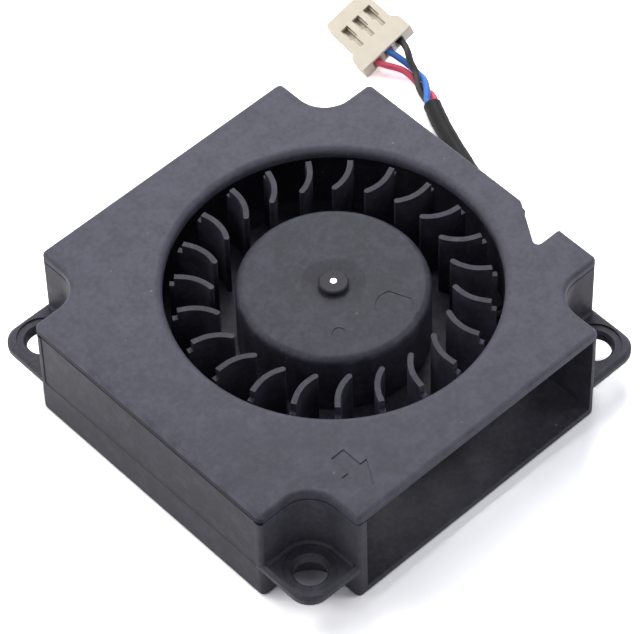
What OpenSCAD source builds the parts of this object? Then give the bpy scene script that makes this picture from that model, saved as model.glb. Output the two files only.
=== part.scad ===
// Flat dc blower fan: square volute housing, radial impeller, brushless motor and lead with connector.
// Origin at the middle of the underside. +Z is up through the inlet, the outlet faces -Y. Millimetres.

/* [Housing] */
// Side of the square housing
frame_w = 35; // [34:0.5:38]
// Thickness of the fan, base and cover together
fan_h = 10; // [9.5:0.25:12]
// Thickness of the outer and scroll walls
wall = 0.9; // [0.7:0.1:1.1]
// Thickness of the floor
floor_t = 0.9; // [0.7:0.1:1.1]
// Thickness of the cover
cover_t = 0.9; // [0.7:0.1:1.1]
// Side of the square notch at each corner
notch_w = 5; // [4.8:0.1:5.4]
// Inner radius of the corner notches
notch_r = 2.6; // [2:0.1:3]
// Radius of the small outer corners
corner_r = 0.45; // [0.25:0.05:0.8]
// Rounding of the cover's top edge and the base's lower edge
edge_r = 0.3; // [0.2:0.05:0.5]
// Height of the seam that shows between the cover's rim and the base
seam_h = 0.12; // [0.08:0.02:0.2]
// Depth of the seam
seam_in = 0.3; // [0.2:0.05:0.5]
// Width of the sunk panel on the closed side
panel_w = 23.7; // [22:0.1:24]
// Depth of the sunk panel
panel_depth = 0.07; // [0.04:0.01:0.1]
// Height of the sunk panel's lower edge
panel_z = 3.4; // [2.5:0.1:5]

/* [Ears] */
// Pitch of the mounting holes, both ways
hole_pitch = 30; // [29.5:0.25:30.5]
// Diameter of the mounting holes
hole_d = 2.6; // [2.2:0.1:3]
// Diameter of the shallow seat round each hole
seat_d = 4.1; // [3.6:0.1:4.4]
// Depth of the seat
seat_depth = 0.15; // [0.1:0.05:0.3]
// Chamfer at the top of each hole
hole_chamfer = 0.2; // [0.1:0.05:0.3]
// Thickness of an ear
ear_t = 1; // [0.8:0.1:1.4]
// Height of an ear's underside
ear_z = 2.9; // [1.5:0.1:4]
// Radius of an ear's free corner
ear_tip_r = 1.7; // [1.2:0.1:2.2]
// Chamfer round an ear's edges
ear_chamfer = 0.25; // [0.1:0.05:0.4]
// Radius of the fillet between an ear and the notch wall
ear_fillet = 0.3; // [0.2:0.05:0.6]

/* [Air path] */
// Distance of the rotor's axis from the middle of the housing
rotor_x = 1.7; // [1.4:0.1:2]
// Radius of the inlet
inlet_r = 13; // [12.7:0.1:13.3]
// Rounding of the inlet's lip
lip_r = 0.6; // [0.3:0.1:0.7]
// Gap between the blades and the scroll at the tongue
tongue_gap = 1.2; // [0.8:0.1:1.5]
// Direction of the tongue, seen from the rotor's axis
tongue_angle = -40; // [-44:1:-36]
// Thickness of the wall between the outlet and the notch
duct_wall = 0.6; // [0.5:0.05:0.8]
// Radius where the scroll turns into the outlet duct
turn_r = 1.5; // [0.8:0.1:2]

/* [Impeller] */
// Number of blades
blade_count = 23; // [19:1:25]
// Radius at the blade tips
blade_r = 12.5; // [12.3:0.1:12.6]
// Thickness of a blade
blade_t = 0.45; // [0.4:0.05:0.6]
// Radius of a blade's curve
blade_curve_r = 3.4; // [3:0.1:4]
// Angle that a blade's curve sweeps
blade_sweep = 43.5; // [36:0.5:46]
// Length of the straight outer end of a blade
blade_straight = 0.95; // [0.7:0.05:1.2]
// Direction of the first blade
blade_phase = 8.87; // [0:0.01:15]
// Radial width of the step at the blade tips
tip_step_w = 0.4; // [0.3:0.05:0.6]
// Height of the step at the blade tips
tip_step_h = 0.85; // [0.7:0.05:1.2]
// Distance from the blades' tops to the cover's top face
blade_sink = 0.15; // [0.05:0.05:0.4]
// Thickness of the disc that carries the blades
disc_t = 0.6; // [0.5:0.05:0.8]
// How far the blades reach past the disc's rim
disc_rim = 0.3; // [0.1:0.05:0.5]
// Outer radius of the hub
hub_r = 7.5; // [7.3:0.1:7.7]
// Thickness of the hub's side wall
hub_wall = 0.7; // [0.6:0.05:0.8]
// Thickness of the hub's top
hub_top_t = 0.8; // [0.7:0.05:0.9]
// Rounding of the hub's rim
hub_round = 0.6; // [0.3:0.05:0.7]
// Distance from the hub's top to the cover's top face
hub_sink = 0.5; // [0.35:0.05:0.6]
// Radius of the raised boss round the shaft
boss_r = 1.15; // [1:0.05:1.4]
// Height of the boss over the hub's top
boss_rise = 0.3; // [0.15:0.05:0.3]
// Radius of the shallow dish round the boss
dish_r = 2.5; // [2:0.1:3]
// Depth of the dish
dish_depth = 0.18; // [0.1:0.02:0.26]
// Radius of the shallow mark that a mould insert leaves on the hub
insert_r = 1.45; // [1.2:0.05:1.6]
// Radius of the round gate mark on the hub
gate_r = 0.5; // [0.3:0.05:0.7]
// Depth of both marks
mark_depth = 0.05; // [0.03:0.01:0.08]

/* [Motor] */
// Diameter of the shaft
shaft_d = 1.5; // [1.3:0.1:1.6]
// Diameter of the shaft's thin end, which shows in the boss
shaft_tip_d = 0.5; // [0.4:0.1:0.8]
// Radial clearance of the shaft in its bearing
bearing_gap = 0.02; // [0.015:0.005:0.04]
// Outer diameter of the sleeve bearing
bearing_d = 4.2; // [4:0.1:4.4]
// Length of the hub's inner boss round the shaft
hub_core_l = 1.25; // [1:0.05:1.4]
// Gap between the bearing tube and the hub's inner boss
tube_gap = 0.3; // [0.2:0.05:0.4]
// Wall of the brass bearing tube
tube_t = 0.5; // [0.4:0.05:0.5]
// Wall of the moulded cup that holds the bearing tube
cup_t = 0.7; // [0.6:0.05:0.8]
// Height of the moulded cup over the floor
cup_h = 1.5; // [1.3:0.1:1.7]
// Thickness of the floor under the bearing tube
cup_floor_t = 0.5; // [0.4:0.05:0.6]
// Thickness of the thrust pad
pad_t = 0.4; // [0.3:0.05:0.5]
// Thickness of the shaft's lock ring
ring_t = 0.25; // [0.2:0.05:0.3]
// Thickness of the oil washer
washer_t = 0.2; // [0.15:0.05:0.25]
// Thickness of the steel yoke
yoke_t = 0.4; // [0.35:0.05:0.45]
// Radial thickness of the ring magnet
magnet_t = 1.2; // [1.1:0.05:1.3]
// Gap between the ring magnet and the yoke's flange
magnet_roof = 0.7; // [0.5:0.05:0.9]
// Gap between the ring magnet and the underside of the impeller's disc
magnet_rise = 0.3; // [0.25:0.05:0.4]
// Width of the yoke's inner flange
flange_w = 4.4; // [4:0.1:4.6]
// Gap between the magnet and the stator
air_gap = 0.3; // [0.2:0.05:0.35]
// How much lower the stator core is than the magnet
core_less = 1.8; // [1.6:0.1:2]
// Width of a pole's stem
stem_w = 1.2; // [1:0.1:1.4]
// Radial thickness of a pole's face
pole_t = 0.6; // [0.5:0.05:0.7]
// Angle that a pole's face covers
pole_angle = 70; // [64:1:74]
// Thickness of the insulators' walls
insulator_t = 0.3; // [0.25:0.05:0.35]
// Thickness of a coil's winding
coil_t = 0.65; // [0.5:0.05:0.7]

/* [Circuit board] */
// Height of the standoffs under the board
standoff_h = 0.8; // [0.7:0.05:0.9]
// Thickness of the board
board_t = 0.6; // [0.5:0.05:0.6]
// Room over the board for its components
part_room = 0.6; // [0.6:0.05:0.8]
// Diameter of the winding pins
pin_d = 0.4; // [0.3:0.05:0.5]

/* [Lead] */
// Diameter of an insulated wire
wire_d = 0.56; // [0.5:0.01:0.58]
// Distance of the wires from the middle of the bundle
bundle_r = 0.37; // [0.36:0.01:0.39]
// Clearance between the wires and their sleeve
sleeve_gap = 0.02; // [0.01:0.01:0.05]
// Thickness of the sleeve
sleeve_t = 0.08; // [0.06:0.01:0.1]
// Pitch of the connector's contacts
contact_pitch = 1.25; // [1.2:0.01:1.3]
// Width of the connector at its wire end
plug_w = 5.4; // [5.2:0.05:5.7]
// Width of the connector at its mating end
plug_nose_w = 4.3; // [4.15:0.05:4.6]
// Length of the connector
plug_l = 5.35; // [5.2:0.05:5.8]
// Height of the connector
plug_h = 1.6; // [1.55:0.05:1.8]

/* [Hidden] */
$fn = 64;

// How far a cutter passes the face that it opens, and how far fused forms reach into each other
past = 0.5;
bite = 0.05;

// Plan of the housing
half_w = frame_w / 2;
notch_x = half_w - notch_w;
notch_c = notch_x + notch_r;
inner_x = half_w - wall;
base_h = fan_h - cover_t;

// Scroll: an even spiral from the tongue to the side wall, then a straight duct to the outlet
tongue_r = blade_r + tongue_gap;
scroll_end_r = rotor_x + inner_x;
throat_angle = tongue_angle + 6;
scroll_step_count = 54;
duct_x = notch_x - duct_wall;
duct_turn_y = -notch_c + notch_r + wall + turn_r;

// Small gaps in the stack: the yoke's rim under the magnet, the shaft's end over its pad, the lock
// ring over the shaft's end, the bearing over the ring, the washer under the tube's top, and the
// hub's wall over the shaft's full width
yoke_drop = 0.1;
end_gap = 0.05;
ring_rise = 0.3;
ring_gap = 0.25;
washer_sink = 0.1;
tip_wall = 0.2;

// Heights from the floor up
board_z = floor_t + standoff_h;
disc_z = board_z + board_t + part_room;
magnet_z = disc_z + magnet_rise;
yoke_z = magnet_z - yoke_drop;
hub_z = fan_h - hub_sink;
hub_roof_z = hub_z - hub_top_t;
boss_z = hub_z + boss_rise;
blade_z = fan_h - blade_sink;
pad_z = cup_floor_t;
shaft_z = pad_z + pad_t + end_gap;
shaft_top_z = hub_z - tip_wall;
ring_z = shaft_z + ring_rise;
bearing_z = ring_z + ring_t + ring_gap;
hub_core_z = hub_roof_z - hub_core_l;
tube_z = hub_core_z - tube_gap;
washer_z = tube_z - washer_sink - washer_t;
bearing_l = washer_z - bearing_z;
magnet_h = hub_roof_z - yoke_t - magnet_roof - magnet_z;
core_h = magnet_h - core_less;
core_z = magnet_z + core_less / 2 - 0.2;
winding_z0 = core_z - insulator_t - coil_t;
winding_z1 = core_z + core_h + insulator_t + coil_t;

// Radii from the shaft out
shaft_r = shaft_d / 2;
bearing_r = bearing_d / 2;
tube_r = bearing_r + tube_t;
cup_r = tube_r + cup_t;
ring_r = shaft_r + 0.75;
groove_r = shaft_r - 0.15;
journal_r = shaft_r + bearing_gap;
insulator_r = tube_r + 0.5;
hub_core_r = shaft_r + 1.25;
yoke_r = hub_r - hub_wall;
magnet_r = yoke_r - yoke_t;
core_r = magnet_r - magnet_t - air_gap;
pole_r = core_r - pole_t;
coil_half_w = stem_w / 2 + insulator_t / 2 + coil_t;
coil_x0 = insulator_r;
coil_x1 = sqrt(pow(pole_r, 2) - pow(coil_half_w, 2)) - 0.05;
board_r = magnet_r - 0.1;
board_bore_r = cup_r + 0.05;
flange_r = yoke_r - flange_w;

// Blades: the curve ends where the straight end starts
bend_r = blade_r - blade_straight;
blade_step_count = 10;
disc_r = blade_r - disc_rim;
blade_pitch = 360 / blade_count;

// Flat side of the hub's mark: its direction, and its distance from the mark's middle
insert_turn = 23;
insert_flat = 1.14;

// Places round the motor
pole_count = 4;
pin_angles = [45, 135, 225];
pin_circle_r = insulator_r + 0.8;
standoff_angles = [30, 150, 270];
standoff_circle_r = cup_r + 1.1;
standoff_r = 0.5;
lug_w = 0.8;
pin_blind = 0.2;
pin_below = 0.4;
part_circle_r = board_r - 0.85;

// Hollows behind the scroll, beyond this distance towards +Y, and the solid wall between them
hollow_y = 6.5;
hollow_x0 = -6.5;
hollow_x1 = 7;

// Flow arrow in the cover: the middle of its tail, and the sizes of its stem and head
arrow_at = [-9.45, -12.14];
arrow_depth = 0.1;
arrow_stem = [1.24, 1.8];
arrow_head = [2.52, 2.06];

// Cover pegs, in the three thick corners
ear_set_in = 0.05;
peg_r = 0.6;
peg_l = 3;
peg_end_gap = 0.2;
peg_boss_r = 1.4;
peg_places = [[inner_x - 1.1, 10.35], [-inner_x + 1.25, 10.35], [inner_x - 1.8, -10.3]];

// Pocket through which the lead leaves, open at the side and the top
pocket_y0 = -8.5;
pocket_y1 = -4.8;
slant_in = 2.4;
slant_lead = 0.6;
slant_corner = 0.4;
port_r = bundle_r + wire_d / 2 + 0.05;
port_l = 2.4;

// Connector: the middle of its wire face's lower edge, and its turns about Z, its width and its
// length. It leans on one long edge, as the twist of the wires holds it.
plug_at = [26.48, 19.4, 1.02];
plug_turn = -2.5;
plug_pitch = 6;
plug_roll = -22;
plug_shoulder_l = 1.3;
shoulder_corner = 0.5;
flank_r = 0.75;
flank_y = 2.2;
nose_chamfer = 0.2;
wire_depth = 1;
cell_w = 0.86;
cell_h = 1.06;
cell_l = plug_l - 0.7;
contact_z = plug_h / 2;
tab_window_w = 0.6;
tab_window_y = plug_l - 1.2;
slot_w = 0.4;
slot_y = 1.7;
window_w = 0.72;
window_y = 2.7;
window_l = 1.3;
barrel_l = 1.2;

// Place of a point of the connector's own frame
function plug_point(p) =
    let (q = [p[0] * cos(plug_roll) + p[2] * sin(plug_roll), p[1],
            p[2] * cos(plug_roll) - p[0] * sin(plug_roll)],
        r = [q[0], q[1] * cos(plug_pitch) - q[2] * sin(plug_pitch),
            q[1] * sin(plug_pitch) + q[2] * cos(plug_pitch)])
    plug_at + [r[0] * cos(plug_turn) - r[1] * sin(plug_turn),
        r[0] * sin(plug_turn) + r[1] * cos(plug_turn), r[2]];

// Route of the lead. Each row is x, y, z, the twist of the bundle in degrees, and how far the
// wires have spread from a round bundle (0) to a flat row, at the connector (1) or under the
// board (-1). The first rows run inside the housing and exit_index is where the lead leaves the
// scroll wall. The last two rows lie in the connector.
route = concat([
    [ 5.3, -3.00, 1.25,    0, -1.0],
    [ 7.4, -3.88, 1.40,    0, -0.6],
    [10.0, -4.96, 1.65,    0, 0.00],
    [14.9, -7.00, 1.70,    0, 0.00],
    [16.1, -7.50, 1.70,    0, 0.00],
    [17.4, -7.00, 1.65,    0, 0.00],
    [18.4, -5.90, 1.20,    0, 0.00],
    [19.0, -4.40, 0.76,    0, 0.00],
    [19.6, -2.00, 0.76,    0, 0.00],
    [20.5,  0.80, 0.76,    0, 0.00],
    [21.5,  3.60, 0.76,    0, 0.00],
    [22.5,  6.40, 0.76,    0, 0.00],
    [23.4,  9.00, 0.76,    0, 0.00],
    [24.3, 11.30, 0.76,    0, 0.00],
    [25.3, 13.40, 0.76,    0, 0.00],
    [25.7, 14.20, 0.78,  -45, 0.00],
    [26.0, 15.00, 0.80,  -90, 0.00],
    [26.3, 15.80, 0.80, -135, 0.00],
    [26.5, 16.60, 0.95, -180, 0.00],
    [26.5, 17.40, 1.18, -180, 0.12],
    [26.4, 18.15, 1.42, -180, 0.45],
    [26.3, 18.85, 1.65, -180, 0.85]],
    [for (depth = [0.1, wire_depth]) concat(plug_point([0, depth, contact_z]), [-180, 1])]);
exit_index = 3;
sleeve_first_index = 7;
sleeve_last_index = 14;
last_index = len(route) - 1;
side_count = 8;
solder_pitch = 0.8;
solder_h = 0.3;
solder_r = 0.35;
solder_set_in = 0.25;
solder_gap = 0.03;

// Each wire's place in the round bundle in degrees, its place in the connector's row, its place
// in the row under the board, and how far it arches over the others where they spread
red_wire = [30, -1, 1, 0];
blue_wire = [150, 0, -1, 0];
black_wire = [270, 1, 0, 0.55];

// ---------------------------------------------------------------- shared shapes

// Rectangle with round corners, centred
module round_rect(w, l, r) {
    square([w - 2 * r, l], center = true);
    square([w, l - 2 * r], center = true);
    for (x = [-1, 1], y = [-1, 1])
        translate([x * (w / 2 - r), y * (l / 2 - r)]) circle(r);
}

// One arm of the notched square, shrunk by inset: the other arm is this one turned by 90 degrees
module frame_arm(inset) {
    round_rect(2 * (notch_x - inset), frame_w - 2 * inset, max(corner_r - inset, 0.05));
}

// Plan of the housing, with a round inner corner in each notch, shrunk by inset
module frame_plan(inset) {
    for (a = [0, 90]) rotate(a) frame_arm(inset);
    for (a = [0 : 90 : 270]) rotate(a) difference() {
        translate([notch_x - inset - wall, notch_x - inset - wall])
            square(notch_r + inset + wall + inset);
        translate([notch_c, notch_c]) circle(notch_r + inset);
        translate([notch_c, 0]) square(frame_w);
        translate([0, notch_c]) square(frame_w);
    }
}

// How far the rounded edge has drawn in, and how high it is, at each of its steps
edge_turns = [0 : 22.5 : 90];
function edge_in(s) = edge_r * (1 - cos(s));
function edge_top(t, s) = t - edge_r * (1 - sin(s));

// Slab with the housing's plan whose upper edge is rounded
module rounded_slab(t) {
    for (a = [0, 90]) rotate(a) hull()
        for (s = edge_turns) linear_extrude(edge_top(t, s)) frame_arm(edge_in(s), $fn = 32);
    for (a = [0 : 90 : 270]) rotate(a) difference() {
        translate([notch_x - wall, notch_x - wall, 0]) cube([notch_r + wall, notch_r + wall, t]);
        translate([notch_c, notch_c, 0]) rotate_extrude() notch_edge(t);
    }
}

// Section of the cutter that rounds a notch's inner corner and its upper edge
module notch_edge(t) {
    polygon(concat([[0, t + past], [0, -past], [notch_r, -past]],
        [for (s = edge_turns) [notch_r + edge_in(s), edge_top(t, s)]],
        [[notch_r + edge_r, t + past]]));
}

// ---------------------------------------------------------------- air path

function scroll_r(a) = tongue_r
    + (scroll_end_r - tongue_r) * (a - tongue_angle) / (180 - tongue_angle);
function scroll_point(a, grow) = [rotor_x + (scroll_r(a) + grow) * cos(a),
    (scroll_r(a) + grow) * sin(a)];
function arc_points(c, r, a0, a1, steps) = [for (i = [0 : steps])
    let (a = a0 + (a1 - a0) * i / steps) [c[0] + r * cos(a), c[1] + r * sin(a)]];
function curve_point(p, q, r, t) = (1 - t) * (1 - t) * p + 2 * t * (1 - t) * q + t * t * r;

// Where the scroll's tangent at the throat meets the duct's right wall
throat = scroll_point(throat_angle, 0);
throat_run = (throat[0] - duct_x) / -sin(throat_angle);
tongue_corner = [duct_x, throat[1] - throat_run * cos(throat_angle)];
duct_start = [duct_x, tongue_corner[1] - throat_run * 0.75];

// Air space of the scroll and the duct
module air_plan() {
    polygon(concat(
        [for (i = [0 : scroll_step_count])
            scroll_point(throat_angle + (180 - throat_angle) * i / scroll_step_count, 0)],
        arc_points([turn_r - inner_x, duct_turn_y], turn_r, 180, 270, 6),
        arc_points([-notch_c, -notch_c], notch_r + wall, 90, 0, 10),
        [[wall - notch_x, -half_w - past], [duct_x, -half_w - past]],
        [for (t = [0 : 0.2 : 0.8]) curve_point(duct_start, tongue_corner, throat, t)]));
}

// Everything inside the scroll wall's outer face
module scroll_outside() {
    polygon(concat([[rotor_x, 0]], [for (i = [0 : scroll_step_count])
        scroll_point(throat_angle + (180 - throat_angle) * i / scroll_step_count, wall)]));
}

// ---------------------------------------------------------------- housing base

// Plan of an ear, a hair inside the housing's sides, with its two free edges shrunk by inset
module ear_plan(inset) {
    reach = half_w - ear_set_in - inset;
    root = notch_x - wall * 0.6;
    r = ear_tip_r - inset;
    translate([root, root]) square([reach - root, reach - root - r]);
    translate([root, root]) square([reach - root - r, reach - root]);
    translate([reach - r, reach - r]) circle(r);
}

// Ear with chamfered free edges
module ear_plate() {
    hull() {
        translate([0, 0, ear_z]) linear_extrude(ear_t) ear_plan(ear_chamfer, $fn = 32);
        translate([0, 0, ear_z + ear_chamfer])
            linear_extrude(ear_t - 2 * ear_chamfer) ear_plan(0, $fn = 32);
    }
}

// Section of the fillet over an ear. The first coordinate is the distance from the notch wall.
module fillet_section() {
    polygon(concat([[-bite, -bite], [-bite, ear_fillet]],
        [for (a = [170 : -20 : 110])
            [ear_fillet * (1 + cos(a)), ear_fillet * (1 - sin(a))]],
        [[ear_fillet, -bite]]));
}

// Fillet between an ear and the notch wall
module ear_corner_fillet() {
    straight = half_w - notch_c - corner_r;
    translate([0, 0, ear_z + ear_t]) {
        translate([notch_c, notch_c, 0]) rotate([0, 0, 180]) rotate_extrude(angle = 90)
            translate([notch_r, 0]) mirror([1, 0]) fillet_section();
        translate([notch_c, notch_x, 0]) rotate([90, 0, 90])
            linear_extrude(straight) fillet_section();
        translate([notch_x, notch_c + straight, 0]) rotate([90, 0, 0])
            linear_extrude(straight) fillet_section();
    }
}

// Hollows that keep the corners from being thick, with the bosses for the cover's pegs left
module corner_pockets() {
    difference() {
        frame_plan(wall);
        scroll_outside();
        translate([-frame_w, -2 * frame_w]) square([2 * frame_w, 2 * frame_w + hollow_y]);
        translate([hollow_x0, 0]) square([hollow_x1 - hollow_x0, frame_w]);
        for (p = peg_places) translate(p) circle(peg_boss_r);
    }
}

// Pocket beside the scroll wall where the lead leaves
module lead_pocket() {
    difference() {
        translate([half_w - notch_w, pocket_y0])
            square([notch_w + past, pocket_y1 - pocket_y0]);
        scroll_outside();
    }
}

module housing_base() {
    run = [route[exit_index + 1][0] - route[exit_index][0], route[exit_index + 1][1] - route[exit_index][1]];
    color("#2b2b2e") difference() {
        union() {
            translate([0, 0, base_h]) mirror([0, 0, 1]) rounded_slab(base_h);
            for (a = [0 : 90 : 270]) rotate(a) {
                ear_plate();
                ear_corner_fillet();
            }
        }
        difference() {
            translate([0, 0, floor_t]) linear_extrude(fan_h) air_plan();
            translate([rotor_x, 0, 0]) {
                cylinder(r = cup_r, h = floor_t + cup_h);
                for (a = standoff_angles) rotate(a) translate([standoff_circle_r, 0, 0])
                    cylinder(r = standoff_r, h = board_z);
            }
        }
        translate([0, 0, floor_t]) linear_extrude(fan_h) corner_pockets();
        translate([0, 0, floor_t]) linear_extrude(fan_h) lead_pocket();
        translate([rotor_x, 0, cup_floor_t]) cylinder(r = tube_r, h = fan_h);
        translate([route[exit_index][0], route[exit_index][1], route[exit_index][2]])
            rotate([0, 0, atan2(run[1], run[0])]) rotate([0, 90, 0])
                cylinder(r = port_r, h = port_l, center = true);
        for (p = peg_places) translate([p[0], p[1], base_h - peg_l - peg_end_gap])
            cylinder(r = peg_r, h = peg_l + past);
        for (x = [-1, 1], y = [-1, 1]) translate([x, y] * hole_pitch / 2) {
            translate([0, 0, ear_z - past]) cylinder(d = hole_d, h = ear_t + 2 * past);
            translate([0, 0, ear_z + ear_t - seat_depth]) {
                cylinder(d = seat_d, h = seat_depth + past);
                translate([0, 0, -hole_chamfer])
                    cylinder(d1 = hole_d, d2 = hole_d + 2 * hole_chamfer, h = hole_chamfer);
            }
        }
        translate([-half_w - past, -panel_w / 2, panel_z])
            cube([past + panel_depth, panel_w, fan_h]);
    }
}

// ---------------------------------------------------------------- cover

// Cutter for the inlet: a straight bore that flares into a round lip
module inlet_cutter() {
    rotate_extrude($fn = 128) {
        translate([0, base_h - past]) square([inlet_r, cover_t + 2 * past]);
        difference() {
            translate([0, fan_h - lip_r]) square([inlet_r + lip_r, lip_r + past]);
            translate([inlet_r + lip_r, fan_h - lip_r]) circle(lip_r);
        }
    }
}

// Arrow that shows which way the air leaves
module flow_arrow() {
    stem = arrow_stem[0] / 2;
    head = arrow_head[0] / 2;
    neck = -arrow_stem[1];
    polygon([[-stem, 0], [stem, 0], [stem, neck], [head, neck], [0, neck - arrow_head[1]],
        [-head, neck], [-stem, neck]]);
}

// Notch in the cover over the lead's pocket
module cover_notch() {
    start = [half_w, pocket_y1 + slant_lead];
    inner = arc_points([half_w - slant_in + 0.4, pocket_y0 + 0.4], 0.4, 147, 270, 5);
    along = slant_corner * unit(inner[0] - start);
    polygon(concat([[half_w + past, start[1] + slant_corner]],
        [for (t = [0 : 0.25 : 1]) curve_point(start + [0, slant_corner], start, start + along, t)],
        inner, [[half_w + past, pocket_y0]]));
}

module top_cover() {
    color("#2f2f32") {
        difference() {
            translate([0, 0, base_h]) rounded_slab(cover_t);
            translate([rotor_x, 0, 0]) inlet_cutter();
            translate([arrow_at[0], arrow_at[1], fan_h - arrow_depth]) linear_extrude(past) flow_arrow();
            translate([0, 0, base_h - past]) linear_extrude(cover_t + 2 * past) cover_notch();
            translate([0, 0, base_h - past]) linear_extrude(past + seam_h) difference() {
                square(2 * frame_w, center = true);
                frame_plan(seam_in);
            }
        }
        for (p = peg_places) translate([p[0], p[1], base_h - peg_l])
            cylinder(r = peg_r, h = peg_l + bite);
    }
}

// ---------------------------------------------------------------- impeller

// Plan of a blade that points along +X: a straight outer end, then a curve with a round root
module blade_plan() {
    bend = [bend_r, blade_curve_r];
    root = bend - blade_curve_r * [sin(blade_sweep), cos(blade_sweep)];
    polygon(concat(
        [[blade_r, -blade_t / 2]],
        arc_points(bend, blade_curve_r + blade_t / 2, 270, 270 - blade_sweep, blade_step_count),
        arc_points(root, blade_t / 2, 250 - blade_sweep, 110 - blade_sweep, 5),
        arc_points(bend, blade_curve_r - blade_t / 2, 270 - blade_sweep, 270, blade_step_count),
        [[blade_r, blade_t / 2]]));
}

// Section of the hub, its boss and the disc that carries the blades
module hub_section() {
    difference() {
        union() {
            translate([0, disc_z]) square([hub_r, hub_z - hub_round - disc_z]);
            translate([0, hub_z - hub_round]) square([hub_r - hub_round, hub_round]);
            translate([hub_r - hub_round, hub_z - hub_round]) intersection() {
                circle(hub_round);
                square(hub_round);
            }
            translate([0, disc_z]) square([disc_r, disc_t]);
        }
        polygon([[0, hub_z - dish_depth], [boss_r, hub_z - dish_depth], [dish_r, hub_z],
            [dish_r, hub_z + past], [0, hub_z + past]]);
        translate([0, disc_z - past]) square([yoke_r, hub_roof_z - disc_z + past]);
    }
    difference() {
        translate([0, hub_core_z]) square([boss_r, boss_z - hub_core_z]);
        translate([boss_r, boss_z]) rotate(45) square(0.15, center = true);
    }
    translate([0, hub_core_z]) square([hub_core_r, hub_core_l + bite]);
}

// Marks on the hub's top: the gate, and a mould insert with one flat side
module hub_marks() {
    translate([-3, -3.75]) circle(gate_r);
    translate([1.8, -4.75]) rotate(insert_turn) difference() {
        circle(insert_r);
        translate([insert_flat, -insert_r]) square(2 * insert_r);
    }
}

module impeller() {
    color("#38383b") translate([rotor_x, 0, 0]) difference() {
        union() {
            rotate_extrude($fn = 96) hub_section();
            for (i = [0 : blade_count - 1]) rotate(blade_phase + i * blade_pitch)
                translate([0, 0, disc_z + disc_t / 2])
                    linear_extrude(blade_z - disc_z - disc_t / 2) blade_plan();
        }
        rotate_extrude($fn = 96) translate([blade_r - tip_step_w, blade_z - tip_step_h])
            square([tip_step_w + past, tip_step_h + past]);
        translate([0, 0, disc_z]) cylinder(r = shaft_r, h = shaft_top_z - disc_z);
        cylinder(d = shaft_tip_d, h = fan_h);
        translate([0, 0, hub_z - mark_depth]) linear_extrude(past) hub_marks();
    }
}

module rotor_yoke() {
    color("#8d9094") translate([rotor_x, 0, 0]) rotate_extrude($fn = 96) {
        translate([magnet_r, yoke_z]) square([yoke_t, hub_roof_z - yoke_z]);
        translate([flange_r, hub_roof_z - yoke_t]) square([yoke_r - flange_r, yoke_t]);
    }
}

module ring_magnet() {
    color("#3c3a38") translate([rotor_x, 0, magnet_z]) difference() {
        cylinder(r = magnet_r, h = magnet_h, $fn = 96);
        translate([0, 0, -past]) cylinder(r = magnet_r - magnet_t, h = magnet_h + 2 * past, $fn = 96);
    }
}

// ---------------------------------------------------------------- shaft and bearing

module shaft() {
    color("#c9ccd0") translate([rotor_x, 0, 0]) rotate_extrude() difference() {
        union() {
            translate([0, shaft_z]) square([shaft_r, shaft_top_z - shaft_z]);
            translate([0, shaft_z]) square([shaft_tip_d / 2, boss_z - shaft_z]);
        }
        translate([groove_r, ring_z]) square([shaft_r, ring_t]);
        translate([shaft_r, shaft_z]) rotate(45) square(0.3, center = true);
    }
}

module shaft_lock_ring() {
    color("#d9d4c4") translate([rotor_x, 0, ring_z]) difference() {
        cylinder(r = ring_r, h = ring_t);
        translate([0, 0, -past]) cylinder(r = groove_r, h = ring_t + 2 * past);
        translate([0, -0.2, -past]) cube([ring_r + past, 0.4, ring_t + 2 * past]);
    }
}

module bearing_tube() {
    color("#c2a35a") translate([rotor_x, 0, 0]) difference() {
        translate([0, 0, cup_floor_t]) cylinder(r = tube_r, h = tube_z - cup_floor_t);
        cylinder(r = bearing_r, h = fan_h);
    }
}

module sleeve_bearing() {
    color("#a8763e") translate([rotor_x, 0, bearing_z]) difference() {
        cylinder(r = bearing_r, h = bearing_l);
        translate([0, 0, -past]) cylinder(r = journal_r, h = bearing_l + 2 * past);
        for (z = [0, bearing_l]) translate([0, 0, z]) rotate_extrude()
            translate([journal_r, 0]) rotate(45) square(0.3, center = true);
    }
}

module thrust_pad() {
    color("#e8e4d8") translate([rotor_x, 0, pad_z]) cylinder(r = bearing_r, h = pad_t);
}

module oil_washer() {
    color("#e3dfd2") translate([rotor_x, 0, washer_z]) difference() {
        cylinder(r = bearing_r, h = washer_t);
        translate([0, 0, -past]) cylinder(r = shaft_r + 0.1, h = washer_t + 2 * past);
    }
}

// ---------------------------------------------------------------- stator

// Repeats a shape at every pole
module at_poles() {
    for (i = [0 : pole_count - 1]) rotate(i * 360 / pole_count) children();
}

// Plan of the laminated core
module core_plan() {
    difference() {
        union() {
            circle(insulator_r);
            at_poles() {
                translate([tube_r, -stem_w / 2]) square([pole_r + pole_t / 2 - tube_r, stem_w]);
                intersection() {
                    difference() {
                        circle(core_r);
                        circle(pole_r);
                    }
                    polygon(2 * core_r * [[0, 0], [1, -tan(pole_angle / 2)],
                        [1, tan(pole_angle / 2)]]);
                }
            }
        }
        circle(tube_r);
    }
}

module stator_core() {
    color("#7d8086") translate([rotor_x, 0, core_z]) linear_extrude(core_h) core_plan();
}

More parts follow.
